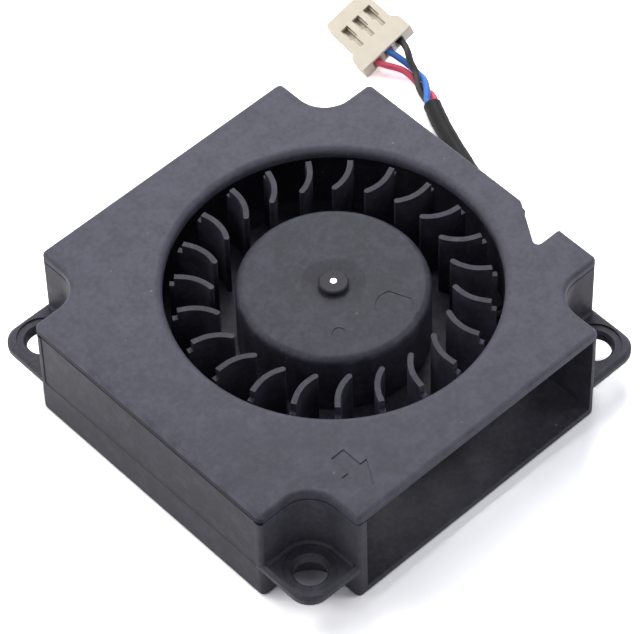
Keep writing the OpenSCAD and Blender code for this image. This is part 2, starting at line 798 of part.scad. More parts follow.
// Upper insulator in its own frame, with z = 0 at the core's mid-height: a ring round the bearing
// tube, a channel over each stem and a flange outside each coil
module insulator_half() {
    top = core_h / 2;
    rim = top + insulator_t + coil_t;
    channel_w = stem_w + insulator_t;
    difference() {
        union() {
            translate([0, 0, top]) cylinder(r = insulator_r, h = rim - top);
            at_poles() {
                translate([tube_r + bite, -channel_w / 2, 0])
                    cube([coil_x1 - tube_r - bite, channel_w, top + insulator_t]);
                translate([coil_x1, -coil_half_w, top]) cube([0.35, 2 * coil_half_w, rim - top]);
            }
        }
        translate([0, 0, -past]) cylinder(r = tube_r, h = rim + 2 * past);
        translate([0, 0, -past]) linear_extrude(top + past) core_plan();
    }
}

module upper_insulator() {
    color("#d8d2c2") translate([rotor_x, 0, core_z + core_h / 2]) insulator_half();
}

module lower_insulator() {
    lug_top = core_z - bite;
    color("#d8d2c2") translate([rotor_x, 0, 0]) {
        translate([0, 0, core_z + core_h / 2]) mirror([0, 0, 1]) insulator_half();
        for (a = pin_angles) rotate(a) difference() {
            translate([insulator_r - 4 * bite, -lug_w / 2, winding_z0])
                cube([pin_circle_r + lug_w / 2 - insulator_r + 4 * bite, lug_w, lug_top - winding_z0]);
            translate([pin_circle_r, 0, winding_z0 - past])
                cylinder(d = pin_d, h = lug_top - winding_z0 - pin_blind + past);
        }
    }
}

// Winding round one pole's stem
module coil(i) {
    inner_w = stem_w + insulator_t;
    inner_h = core_h + 2 * insulator_t;
    color("#b5652b") translate([rotor_x, 0, core_z + core_h / 2])
        rotate(i * 360 / pole_count) translate([coil_x0, 0, 0]) rotate([90, 0, 90])
            linear_extrude(coil_x1 - coil_x0) difference() {
                round_rect(inner_w + 2 * coil_t, inner_h + 2 * coil_t, coil_t * 0.7);
                square([inner_w, inner_h], center = true);
            }
}

module coil_1() { coil(0); }
module coil_2() { coil(1); }
module coil_3() { coil(2); }
module coil_4() { coil(3); }

// ---------------------------------------------------------------- circuit board

module circuit_board() {
    color("#2f6b3a") translate([rotor_x, 0, board_z]) difference() {
        cylinder(r = board_r, h = board_t);
        translate([0, 0, -past]) cylinder(r = board_bore_r, h = board_t + 2 * past);
        for (a = pin_angles) rotate(a) translate([pin_circle_r, 0, -past])
            cylinder(d = pin_d, h = board_t + 2 * past);
    }
}

// Block on the board at an angle, with its width across the radius
module chip(angle, size) {
    translate([rotor_x, 0, board_z + board_t]) rotate(angle)
        translate([part_circle_r - size[0] / 2, -size[1] / 2, 0]) cube(size);
}

module hall_sensor() { color("#1d1d1f") chip(-45, [0.9, 1.6, 0.6]); }
module motor_driver_ic() { color("#1d1d1f") chip(180, [1.5, 2.9, 0.6]); }
module chip_capacitor() { color("#b79a6a") chip(90, [0.8, 1.6, 0.6]); }
module chip_resistor() { color("#26262a") chip(62, [0.5, 1, 0.35]); }

module winding_pins() {
    color("#d5d2c8") translate([rotor_x, 0, 0]) for (a = pin_angles) rotate(a)
        translate([pin_circle_r, 0, board_z - pin_below])
            cylinder(d = pin_d, h = core_z - bite - pin_blind - board_z + pin_below);
}

module solder_joints() {
    color("#cfd1d4") {
        translate([rotor_x, 0, 0]) for (a = pin_angles) rotate(a)
            translate([pin_circle_r, 0, board_z - solder_h]) difference() {
                cylinder(r1 = pin_d / 2 + 0.08, r2 = pin_d / 2 + 0.25, h = solder_h);
                translate([0, 0, -past]) cylinder(d = pin_d, h = 1);
            }
        for (w = [red_wire, blue_wire, black_wire]) solder_pad(w);
    }
}

// Solder that holds a wire's inner end under the board, flat where the wire meets it
module solder_pad(w) {
    p = wire_point(w, 0);
    d = wire_point(w, 1) - p;
    translate([p[0], p[1], floor_t + solder_gap]) rotate(atan2(d[1], d[0])) difference() {
        linear_extrude(board_z - floor_t - solder_gap) translate([-solder_set_in, 0]) circle(solder_r);
        translate([0, -1, -past]) cube([1, 2, 2]);
    }
}

// ---------------------------------------------------------------- lead

function unit(v) = v / norm(v);
function row_point(i) = [route[i][0], route[i][1], route[i][2]];
function row_forward(i) = unit(row_point(min(i + 1, last_index)) - row_point(max(i - 1, 0)));
function across(t) = unit(cross(t, [0, 0, 1]));

// Centre of a wire at a row of the route: round the bundle, or beside the others in a row
function wire_point(w, i) =
    let (t = row_forward(i), side = across(t), rise = cross(side, t),
        turn = w[0] + route[i][3], spread = abs(route[i][4]), at_plug = route[i][4] > 0,
        in_row = at_plug ? contact_pitch * w[1] : solder_pitch * w[2],
        lean = at_plug ? -plug_roll : 0,
        arch = at_plug ? 4 * w[3] * spread * (1 - spread) : 0)
    row_point(i)
        + side * ((1 - spread) * bundle_r * cos(turn) + spread * in_row * cos(lean))
        + rise * ((1 - spread) * bundle_r * sin(turn) + spread * in_row * sin(lean) + arch);

// Ring of points round a path's point i, square to the path
function path_ring(path, i, r) =
    let (t = unit(path[min(i + 1, len(path) - 1)] - path[max(i - 1, 0)]),
        side = across(t), rise = cross(side, t))
    [for (j = [0 : side_count - 1]) let (a = (j + 0.5) * 360 / side_count)
        path[i] + r * (cos(a) * side + sin(a) * rise)];

// Rings of a path from point i0 to point i1
function path_rings(path, r, i0, i1) = [for (i = [i0 : i1]) each path_ring(path, i, r)];

// Faces between the rings of a tube whose points start at base
function tube_faces(rings, base, flip) = [for (i = [0 : rings - 2], j = [0 : side_count - 1])
    let (k = (j + 1) % side_count, a = base + i * side_count, b = a + side_count)
    each flip ? [[a + j, b + k, a + k], [a + j, b + j, b + k]]
        : [[a + j, a + k, b + k], [a + j, b + k, b + j]]];

// Solid tube along a path, from point i0 to point i1
module swept_tube(path, r, i0, i1) {
    n = i1 - i0 + 1;
    polyhedron(path_rings(path, r, i0, i1), concat(
        [[for (j = [side_count - 1 : -1 : 0]) j]],
        tube_faces(n, 0, false),
        [[for (j = [0 : side_count - 1]) (n - 1) * side_count + j]]));
}

// Hollow tube along a path, from point i0 to point i1
module hollow_tube(path, r_in, r_out, i0, i1) {
    n = i1 - i0 + 1;
    inner = n * side_count;
    last = (n - 1) * side_count;
    polyhedron(concat(path_rings(path, r_out, i0, i1), path_rings(path, r_in, i0, i1)), concat(
        tube_faces(n, 0, false), tube_faces(n, inner, true),
        [for (j = [0 : side_count - 1]) let (k = (j + 1) % side_count)
            each [[k, j, inner + j], [k, inner + j, inner + k],
                [last + j, last + k, inner + last + k],
                [last + j, inner + last + k, inner + last + j]]]));
}

function wire_path(w) = [for (i = [0 : last_index]) wire_point(w, i)];

module inner_leads() {
    color("#c23b3b") swept_tube(wire_path(red_wire), wire_d / 2, 0, exit_index);
    color("#3a62c8") swept_tube(wire_path(blue_wire), wire_d / 2, 0, exit_index);
    color("#242426") swept_tube(wire_path(black_wire), wire_d / 2, 0, exit_index);
}

module lead_red() {
    color("#d5485a") swept_tube(wire_path(red_wire), wire_d / 2, exit_index, last_index);
}

module lead_blue() {
    color("#3f6fd0") swept_tube(wire_path(blue_wire), wire_d / 2, exit_index, last_index);
}

module lead_black() {
    color("#242426") swept_tube(wire_path(black_wire), wire_d / 2, exit_index, last_index);
}

module cable_sleeve() {
    flat = cos(180 / side_count);
    r_in = (bundle_r + wire_d / 2 + sleeve_gap) / flat;
    color("#2a2a2c") hollow_tube([for (i = [0 : last_index]) row_point(i)], r_in,
        r_in + sleeve_t / flat, sleeve_first_index, sleeve_last_index);
}

// ---------------------------------------------------------------- connector

// Plan of the connector: wide shoulders at the wire end, a hollow flank, then the narrower body
module plug_plan() {
    w = plug_w / 2;
    n = plug_nose_w / 2;
    right = concat([[w, 0], [w, plug_shoulder_l - shoulder_corner]],
        arc_points([n + flank_r, flank_y], flank_r, 250, 180, 6),
        [[n, plug_l - nose_chamfer], [n - nose_chamfer, plug_l]]);
    polygon(concat(right, [for (i = [len(right) - 1 : -1 : 0]) [-right[i][0], right[i][1]]]));
}

module at_contacts() {
    for (i = [-1 : 1]) translate([i * contact_pitch, 0, 0]) children();
}

module in_plug_frame() {
    translate(plug_at) rotate([0, 0, plug_turn]) rotate([plug_pitch, 0, 0]) rotate([0, plug_roll, 0])
        children();
}

module connector_housing() {
    color("#e9ddc6") in_plug_frame() difference() {
        linear_extrude(plug_h) plug_plan();
        at_contacts() {
            translate([-cell_w / 2, -past, contact_z - cell_h / 2]) cube([cell_w, cell_l + past, cell_h]);
            translate([-tab_window_w / 2, tab_window_y, contact_z - tab_window_w / 2])
                cube([tab_window_w, 2, tab_window_w]);
            translate([-slot_w / 2, slot_y, contact_z]) cube([slot_w, window_y - slot_y + bite, plug_h]);
            translate([-window_w / 2, window_y, contact_z]) cube([window_w, window_l, plug_h]);
        }
    }
}

// Crimped contact: a barrel round the wire's end, then a box with a window in its roof
module connector_terminals() {
    box_w = cell_w - 0.16;
    box_h = cell_h - 0.2;
    color("#cdbf9b") in_plug_frame() at_contacts() difference() {
        translate([0, wire_depth + 0.03, contact_z]) {
            translate([-box_w / 2, 0, -box_h / 2]) cube([box_w, cell_l - wire_depth - 0.2, box_h]);
            rotate([-90, 0, 0]) cylinder(r = box_w / 2 + 0.03, h = barrel_l);
        }
        translate([-slot_w / 2, window_y, contact_z]) cube([slot_w, window_l, plug_h]);
    }
}

housing_base();
top_cover();
impeller();
rotor_yoke();
ring_magnet();
shaft();
shaft_lock_ring();
bearing_tube();
sleeve_bearing();
thrust_pad();
oil_washer();
stator_core();
upper_insulator();
lower_insulator();
coil_1();
coil_2();
coil_3();
coil_4();
circuit_board();
hall_sensor();
motor_driver_ic();
chip_capacitor();
chip_resistor();
winding_pins();
solder_joints();
inner_leads();
lead_red();
lead_blue();
lead_black();
cable_sleeve();
connector_housing();
connector_terminals();
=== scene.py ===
"""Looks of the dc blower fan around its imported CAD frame: camera, cords, finishes, floor, light."""

import math

import bpy
import bmesh
from mathutils import Matrix, Vector


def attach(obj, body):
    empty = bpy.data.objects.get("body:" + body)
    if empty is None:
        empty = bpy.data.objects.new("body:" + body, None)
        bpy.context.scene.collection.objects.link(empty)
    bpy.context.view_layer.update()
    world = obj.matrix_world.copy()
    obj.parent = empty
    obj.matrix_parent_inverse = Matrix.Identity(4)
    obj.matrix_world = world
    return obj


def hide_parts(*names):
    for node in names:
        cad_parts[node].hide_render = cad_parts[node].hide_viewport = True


MM = 0.001

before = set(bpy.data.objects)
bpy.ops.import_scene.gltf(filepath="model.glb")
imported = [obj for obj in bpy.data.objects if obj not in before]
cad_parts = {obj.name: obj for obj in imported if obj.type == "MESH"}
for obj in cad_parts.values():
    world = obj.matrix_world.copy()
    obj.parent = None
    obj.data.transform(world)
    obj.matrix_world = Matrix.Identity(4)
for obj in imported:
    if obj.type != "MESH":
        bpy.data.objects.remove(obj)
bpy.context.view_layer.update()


def add_object(name, data):
    """A new object in the scene that shows the given data."""
    made = bpy.data.objects.new(name, data)
    bpy.context.scene.collection.objects.link(made)
    return made


def add_mesh(name, bm):
    """A new object in the scene with the mesh that bm holds. It frees bm."""
    data = bpy.data.meshes.new(name)
    bm.to_mesh(data)
    bm.free()
    return add_object(name, data)


# ---------------------------------------------------------------- camera

AZIMUTH = math.radians(-42.136)
ELEVATION = math.radians(51.31)
ROLL = math.radians(-1.598)
DISTANCE = 297.24 * MM
OFFSET_RIGHT = 0.047 * MM
OFFSET_UP = 4.303 * MM
LENS_MM = 215.69
SENSOR_MM = 36
NEAREST_M = 0.01
FARTHEST_M = 10


def make_camera():
    """Camera at the photograph's viewing angle, aimed a little beside the frame's origin."""
    back = Vector((math.sin(AZIMUTH) * math.cos(ELEVATION),
                   -math.cos(AZIMUTH) * math.cos(ELEVATION),
                   math.sin(ELEVATION)))
    level = Vector((math.cos(AZIMUTH), math.sin(AZIMUTH), 0))
    upright = back.cross(level)
    right = math.cos(ROLL) * level + math.sin(ROLL) * upright
    up = -math.sin(ROLL) * level + math.cos(ROLL) * upright
    data = bpy.data.cameras.new("camera")
    data.sensor_width = SENSOR_MM
    data.lens = LENS_MM
    data.clip_start = NEAREST_M
    data.clip_end = FARTHEST_M
    camera = add_object("camera", data)
    place = back * DISTANCE + right * OFFSET_RIGHT + up * OFFSET_UP
    turn = Matrix((right, up, back)).transposed().to_4x4()
    camera.matrix_world = Matrix.Translation(place) @ turn
    bpy.context.scene.camera = camera


make_camera()

# ---------------------------------------------------------------- cords

WIRE_D = 0.56
BUNDLE_R = 0.37
CONTACT_PITCH = 1.25
SOLDER_PITCH = 0.8
ROW_EXIT = 3
ROW_SLEEVE_START = 7
ROW_SLEEVE_END = 14
WIRE_STEPS = 6
WIRE_BEVEL_STEPS = 6

# The lead's route in millimetres, as in part.scad: x, y, z, twist in degrees, spread of the wires
ROUTE = [
    (5.3, -3.00, 1.25, 0, -1.0),
    (7.4, -3.88, 1.40, 0, -0.6),
    (10.0, -4.96, 1.65, 0, 0.00),
    (14.9, -7.00, 1.70, 0, 0.00),
    (16.1, -7.50, 1.70, 0, 0.00),
    (17.4, -7.00, 1.65, 0, 0.00),
    (18.4, -5.90, 1.20, 0, 0.00),
    (19.0, -4.40, 0.76, 0, 0.00),
    (19.6, -2.00, 0.76, 0, 0.00),
    (20.5, 0.80, 0.76, 0, 0.00),
    (21.5, 3.60, 0.76, 0, 0.00),
    (22.5, 6.40, 0.76, 0, 0.00),
    (23.4, 9.00, 0.76, 0, 0.00),
    (24.3, 11.30, 0.76, 0, 0.00),
    (25.3, 13.40, 0.76, 0, 0.00),
    (25.7, 14.20, 0.78, -45, 0.00),
    (26.0, 15.00, 0.80, -90, 0.00),
    (26.3, 15.80, 0.80, -135, 0.00),
    (26.5, 16.60, 0.95, -180, 0.00),
    (26.5, 17.40, 1.18, -180, 0.12),
    (26.4, 18.15, 1.42, -180, 0.45),
    (26.3, 18.85, 1.65, -180, 0.85),
]

# The connector's frame as in part.scad: its place, its turns about Z, X and Y, and its height
PLUG_AT = Vector((26.48, 19.4, 1.02))
PLUG_TURN = math.radians(-2.5)
PLUG_PITCH = math.radians(6)
PLUG_ROLL = math.radians(-22)
PLUG_FRAME = (Matrix.Rotation(PLUG_TURN, 3, "Z") @ Matrix.Rotation(PLUG_PITCH, 3, "X")
              @ Matrix.Rotation(PLUG_ROLL, 3, "Y"))
PLUG_H = 1.6
PLUG_TWIST = -180
WIRE_ENTRY = 0.1
WIRE_DEPTH = 1.0

for depth in (WIRE_ENTRY, WIRE_DEPTH):
    inside = PLUG_AT + PLUG_FRAME @ Vector((0, depth, PLUG_H / 2))
    ROUTE.append((*inside, PLUG_TWIST, 1.00))

# Each wire's angle in the bundle, place in the connector's row, place under the board, arch in mm
WIRES = {
    "red": (30, -1, 1, 0),
    "blue": (150, 0, -1, 0),
    "black": (270, 1, 0, 0.55),
}


def route_point(i):
    """Middle of the bundle at a row of the route."""
    return Vector(ROUTE[i][:3])


def wire_point(wire, i):
    """Centre of a wire at a row of the route, by the same rule as in part.scad."""
    angle, place, inner_place, arch = wire
    *_, twist, spread_to = ROUTE[i]
    after = route_point(min(i + 1, len(ROUTE) - 1))
    before = route_point(max(i - 1, 0))
    forward = (after - before).normalized()
    side = forward.cross(Vector((0, 0, 1))).normalized()
    rise = side.cross(forward)
    turn = math.radians(angle + twist)
    spread = abs(spread_to)
    at_connector = spread_to > 0
    in_row = CONTACT_PITCH * place if at_connector else SOLDER_PITCH * inner_place
    lean = -PLUG_ROLL if at_connector else 0
    hump = 4 * arch * spread * (1 - spread) if at_connector else 0
    return (route_point(i)
            + side * ((1 - spread) * BUNDLE_R * math.cos(turn) + spread * in_row * math.cos(lean))
            + rise * ((1 - spread) * BUNDLE_R * math.sin(turn) + spread * in_row * math.sin(lean)
                      + hump))


def smooth_path(points, steps):
    """Points of a Catmull-Rom curve through the given points, in steps between each two."""
    out = []
    for i in range(len(points) - 1):
        p0 = points[max(i - 1, 0)]
        p1 = points[i]
        p2 = points[i + 1]
        p3 = points[min(i + 2, len(points) - 1)]
        for k in range(steps):
            t = k / steps
            out.append(0.5 * (2 * p1 + (p2 - p0) * t
                              + (2 * p0 - 5 * p1 + 4 * p2 - p3) * t ** 2
                              + (3 * p1 - p0 - 3 * p2 + p3) * t ** 3))
    out.append(points[-1])
    return out


def wire_curve(name, points, diameter):
    """Round wire along points in millimetres, as one open spline, and the line that it follows."""
    data = bpy.data.curves.new(name, "CURVE")
    data.dimensions = "3D"
    data.bevel_depth = diameter / 2 * MM
    data.bevel_resolution = WIRE_BEVEL_STEPS
    data.use_fill_caps = True
    line = smooth_path(points, WIRE_STEPS)
    spline = data.splines.new("POLY")
    spline.points.add(len(line) - 1)
    for target, p in zip(spline.points, line):
        target.co = (*(p * MM), 1)
    spline.use_smooth = True
    return add_object(name, data), line


# ---------------------------------------------------------------- node helpers

# A wave texture's bands lie this far apart at a scale of 1
WAVE_SPACING = 0.31
# A speck is at its full strength over this share of its radius
SPECK_CORE = 0.3
EDGE_SAMPLES = 4


class Nodes:
    """Short ways to add nodes to one node tree and to join them."""

    def __init__(self, tree):
        self.tree = tree

    def node(self, kind, **settings):
        """A new node of a kind, with its settings by name."""
        made = self.tree.nodes.new(kind)
        for key, value in settings.items():
            setattr(made, key, value)
        return made

    def link(self, source, target):
        self.tree.links.new(source, target)

    def feed(self, socket, value):
        """Links another node's output to the socket, or sets the socket to a fixed value."""
        if isinstance(value, bpy.types.NodeSocket):
            self.link(value, socket)
        else:
            socket.default_value = value

    def object_place(self):
        """The place on the object, in the object's own coordinates."""
        return self.node("ShaderNodeTexCoord").outputs["Object"]

    def math(self, operation, a, b):
        made = self.node("ShaderNodeMath", operation=operation)
        self.feed(made.inputs[0], a)
        self.feed(made.inputs[1], b)
        return made.outputs["Value"]

    def times(self, a, b):
        return self.math("MULTIPLY", a, b)

    def vector_math(self, operation, a, b=(0, 0, 0), result="Value"):
        made = self.node("ShaderNodeVectorMath", operation=operation)
        self.feed(made.inputs[0], a)
        self.feed(made.inputs[1], b)
        return made.outputs[result]

    def along(self, vector, axis):
        """One of a vector's three parts."""
        parts = self.node("ShaderNodeSeparateXYZ")
        self.link(vector, parts.inputs["Vector"])
        return parts.outputs[axis]

    def ramp(self, value, low, high, out_low=0.0, out_high=1.0):
        """A value moved from the range low to high into the range out_low to out_high."""
        made = self.node("ShaderNodeMapRange")
        for key, number in (("From Min", low), ("From Max", high),
                            ("To Min", out_low), ("To Max", out_high)):
            made.inputs[key].default_value = number
        self.link(value, made.inputs["Value"])
        return made.outputs["Result"]

    def ramp_mm(self, place, low_mm, high_mm, out_low=0.0, out_high=1.0):
        """The same for a place between two others in millimetres."""
        return self.ramp(place, low_mm * MM, high_mm * MM, out_low, out_high)

    def mix(self, amount, low, high):
        """The colour low where amount is 0 and high where it is 1, each with its alpha."""
        made = self.node("ShaderNodeMix", data_type="RGBA")
        self.feed(made.inputs["Factor"], amount)
        self.feed(made.inputs["A"], low)
        self.feed(made.inputs["B"], high)
        return made.outputs["Result"]


class Finish(Nodes):
    """A material built from nodes around one Principled shader."""

    def __init__(self, name, color, roughness, metallic=0.0, specular=0.5, coat=0.0):
        self.material = bpy.data.materials.new(name)
        self.material.use_nodes = True
        super().__init__(self.material.node_tree)
        self.shader = self.tree.nodes["Principled BSDF"]
        for key, value in (("Base Color", (*color, 1)), ("Roughness", roughness),
                           ("Metallic", metallic), ("Specular IOR Level", specular),
                           ("Coat Weight", coat)):
            self.shader.inputs[key].default_value = value
        self.where = self.object_place()

    def stretched(self, scale):
        """The object's coordinates, multiplied by a scale on each axis."""
        mapping = self.node("ShaderNodeMapping")
        mapping.inputs["Scale"].default_value = scale
        self.link(self.where, mapping.inputs["Vector"])
        return mapping.outputs["Vector"]

    def noise(self, size_mm, detail=3.0, rough=0.55, vector=None):
        """Noise from 0 to 1 whose features are about size_mm across."""
        made = self.node("ShaderNodeTexNoise")
        made.inputs["Scale"].default_value = 1 / (size_mm * MM)
        made.inputs["Detail"].default_value = detail
        made.inputs["Roughness"].default_value = rough
        self.link(vector or self.where, made.inputs["Vector"])
        return made.outputs["Fac"]

    def level_bands(self, spacing_mm, distortion=0.0):
        """Level bands, from 0 to 1 and back over each spacing in height."""
        made = self.node("ShaderNodeTexWave", bands_direction="Z")
        made.inputs["Scale"].default_value = WAVE_SPACING / (spacing_mm * MM)
        made.inputs["Distortion"].default_value = distortion
        self.link(self.where, made.inputs["Vector"])
        return made.outputs["Fac"]

    def specks(self, spacing_mm, radius_mm, share):
        """Soft round specks, in a share of the cells of a grid that is spacing_mm wide."""
        cells = self.node("ShaderNodeTexVoronoi")
        cells.inputs["Scale"].default_value = 1 / (spacing_mm * MM)
        self.link(self.where, cells.inputs["Vector"])
        chance = self.node("ShaderNodeSeparateColor")
        self.link(cells.outputs["Color"], chance.inputs["Color"])
        present = self.math("LESS_THAN", chance.outputs["Red"], share)
        reach = radius_mm / spacing_mm
        near = self.ramp(cells.outputs["Distance"], reach * SPECK_CORE, reach, 1, 0)
        return self.times(near, present)

    def band(self, axis, low_mm, high_mm, soft_mm):
        """A value that is 1 between two places along an axis and 0 beyond them, softly."""
        place = self.along(self.where, axis)
        start = self.ramp_mm(place, low_mm - soft_mm, low_mm)
        end = self.ramp_mm(place, high_mm, high_mm + soft_mm, 1, 0)
        return self.times(start, end)

    def slope(self, direction, start_mm, end_mm):
        """A value that rises from 0 to 1 between two places along a direction."""
        return self.ramp_mm(self.vector_math("DOT_PRODUCT", self.where, direction),
                            start_mm, end_mm)

    def near_axis(self, centre_mm, near_mm, far_mm):
        """A value that is 1 close to an upright axis and falls to 0 away from it."""
        level = self.vector_math("MULTIPLY", self.where, (1, 1, 0), "Vector")
        away = self.vector_math("DISTANCE", level, [c * MM for c in centre_mm])
        return self.ramp_mm(away, near_mm, far_mm, 1, 0)

    def round_edges(self, radius_mm):
        """Rounds the shading of edges, and gives a value that is high along them."""
        round_normal = self.node("ShaderNodeBevel", samples=EDGE_SAMPLES)
        round_normal.inputs["Radius"].default_value = radius_mm * MM
        true_normal = self.node("ShaderNodeNewGeometry").outputs["True Normal"]
        self.link(round_normal.outputs["Normal"], self.shader.inputs["Normal"])
        level = self.vector_math("DOT_PRODUCT", round_normal.outputs["Normal"], true_normal)
        return self.math("SUBTRACT", 1.0, level)

    def tint(self, amount, color):
        """Blends the base colour towards another where amount is high."""
        base = self.shader.inputs["Base Color"]
        under = base.links[0].from_socket if base.is_linked else base.default_value
        self.link(self.mix(amount, under, (*color, 1)), base)

    def rough(self, amount, low, high):
        """Sets the roughness between low and high by amount."""
        self.link(self.ramp(amount, 0, 1, low, high), self.shader.inputs["Roughness"])

    def dull(self, amount, specular):
        """Takes the gloss away where amount is high."""
        self.link(self.ramp(amount, 0, 1, specular, 0), self.shader.inputs["Specular IOR Level"])

    def bump(self, height, depth_mm):
        """Raises the surface by a height from 0 to 1 times depth_mm."""
        made = self.node("ShaderNodeBump")
        made.inputs["Distance"].default_value = depth_mm * MM
        made.inputs["Strength"].default_value = 1
        self.link(height, made.inputs["Height"])
        normal = self.shader.inputs["Normal"]
        if normal.is_linked:
            self.link(normal.links[0].from_socket, made.inputs["Normal"])
        self.link(made.outputs["Normal"], normal)


# ---------------------------------------------------------------- moulded plastic

# Sizes in millimetres, in the part's frame
HALF_W = 17.5
FAN_H = 10.0
ROTOR_AXIS = (1.7, 0, 0)
SEAM_Z = 9.1
PANEL_Z = 3.4

PLASTIC_GLOSS = 0.2
CLOUD_MM = 5.0
BLOTCH_MM = 1.6
GRAIN_MM = 0.13
GRAIN_SHARE = 0.4

# The painted sheen, paler towards the back corner on the side of the back lights, starts and is full
# at these places
BACK_CORNER = (0.707, 0.707, 0)
SHEEN_FROM = -21
SHEEN_FULL = -3

# The painted highlight, a pale line along the cover's outer top edge
RIM_W = 0.45
RIM_SOFT = 0.1
RIM_Z = (FAN_H - 0.32, FAN_H - 0.04)
RIM_Z_SOFT = 0.04

# On the -X side, painted shade on the cover's side and in the seam under it, and painted light on the
# panel's ledge: how deep it goes, where it lies in height, how strong it is
SIDE_X = (-HALF_W - 0.1, -HALF_W + 0.3)
SIDE_SOFT = 0.05
PAINTED_SHADE_COLOR = (0.012, 0.011, 0.013)
SEAM_BAND = (SEAM_Z - 0.16, SEAM_Z + 0.12)
SEAM_SOFT = 0.05
COVER_BAND = (SEAM_Z, FAN_H - 0.35)
COVER_SOFT = 0.1
COVER_SHADE_AMOUNT = 0.55
LEDGE_LIGHT_COLOR = (0.28, 0.28, 0.29)
LEDGE_BAND = (PANEL_Z - 0.03, PANEL_Z + 0.06)
LEDGE_SOFT = 0.03
LEDGE_LIGHT_AMOUNT = 0.4

# Painted shade in the hollow round the hub's boss: full and gone at these radii
HOLLOW_FULL_R = 1.3
HOLLOW_END_R = 2.9
HOLLOW_SHADE_AMOUNT = 0.5

SPECK_COLOR = (0.33, 0.33, 0.34)
SPECK_SPACING = 0.9
SPECK_R = 0.13
SPECK_SHARE = 0.045


def scaled(color, factor, added=0.0):
    """A colour times a factor, with a grey added."""
    return tuple(c * factor + added for c in color)


def patchy_color(m, color, amount, cloud, blotch, mottle):
    """Darker where a noise is low and paler where it is high, at three sizes."""
    darker = scaled(color, 0.68)
    paler = scaled(color, 1.4)
    for noise, low, high, at_low, at_high, tone in (
            (cloud, 0.36, 0.60, 0.50, 0, darker),
            (blotch, 0.36, 0.50, 0.40, 0, darker),
            (blotch, 0.50, 0.68, 0, 0.65, paler),
            (mottle, 0.38, 0.50, 0.35, 0, darker),
            (mottle, 0.50, 0.66, 0, 0.45, paler)):
        m.tint(m.ramp(noise, low, high, at_low * amount, at_high * amount), tone)


def paint_back_sheen(m, color, amount, blotch, mottle):
    """Painted sheen that grows paler towards the back corner, on the side of the back lights, and
    lets the patches show.
    """
    patchy = m.times(m.ramp(mottle, 0.36, 0.6, 0.6, 1), m.ramp(blotch, 0.36, 0.62, 0.65, 1))
    spread = m.times(m.slope(BACK_CORNER, SHEEN_FROM, SHEEN_FULL), patchy)
    # Painted sheen: paler colour towards the back lights
    m.tint(m.times(spread, amount), scaled(color, 1.65))


def paint_rim_highlight(m, color, blotch):
    """Painted highlight: a pale, uneven line along the outer top edge."""
    inner = HALF_W - RIM_W
    middle = m.times(m.band("X", -inner, inner, RIM_SOFT), m.band("Y", -inner, inner, RIM_SOFT))
    outer = m.math("SUBTRACT", 1.0, middle)
    line = m.times(m.band("Z", *RIM_Z, RIM_Z_SOFT), m.ramp(blotch, 0.35, 0.6, 0.2, 0.6))
    # Painted highlight along the rim
    m.tint(m.times(outer, line), scaled(color, 2.4))


def paint_side_shade_and_ledge_light(m, blotch):
    """On the -X side, painted shade in the seam and on the cover over it, with less gloss there, and
    painted light on the panel's ledge, which the cover's overhang shades.
    """
    side = m.band("X", *SIDE_X, SIDE_SOFT)
    cover = m.times(m.band("Z", *COVER_BAND, COVER_SOFT), COVER_SHADE_AMOUNT)
    seam = m.times(m.band("Z", *SEAM_BAND, SEAM_SOFT), m.ramp(blotch, 0.3, 0.6, 0.8, 1))
    shaded = m.times(side, m.math("MAXIMUM", cover, seam))
    # Painted shade on the cover's side and in the seam
    m.tint(shaded, PAINTED_SHADE_COLOR)
    m.dull(shaded, PLASTIC_GLOSS)
    ledge = m.times(side, m.band("Z", *LEDGE_BAND, LEDGE_SOFT))
    # Painted light on the ledge under the cover's overhang
    m.tint(m.times(ledge, LEDGE_LIGHT_AMOUNT), LEDGE_LIGHT_COLOR)


def paint_hollow_shade(m, color):
    """Painted shade: darker colour in the hollow round the boss on the hub."""
    near = m.near_axis(ROTOR_AXIS, HOLLOW_FULL_R, HOLLOW_END_R)
    # Painted shade round the boss
    m.tint(m.times(near, HOLLOW_SHADE_AMOUNT), scaled(color, 0.4))


def worn_and_highlit_edges(m, color, amount, edge, blotch):
    """Edges rubbed pale, partly wear and partly a painted highlight along them, more in some places
    than in others.
    """
    rubbed_and_highlit = m.times(m.ramp(edge, 0.03, 0.2), m.ramp(blotch, 0.35, 0.65, 0.3, 1))
    # Pale edges: part wear, part painted highlight
    m.tint(m.times(rubbed_and_highlit, amount), scaled(color, 1.5, 0.05))


def dust_specks(m, amount):
    """A few soft pale specks."""
    specks = m.specks(SPECK_SPACING, SPECK_R, SPECK_SHARE)
    m.tint(m.times(specks, amount), SPECK_COLOR)


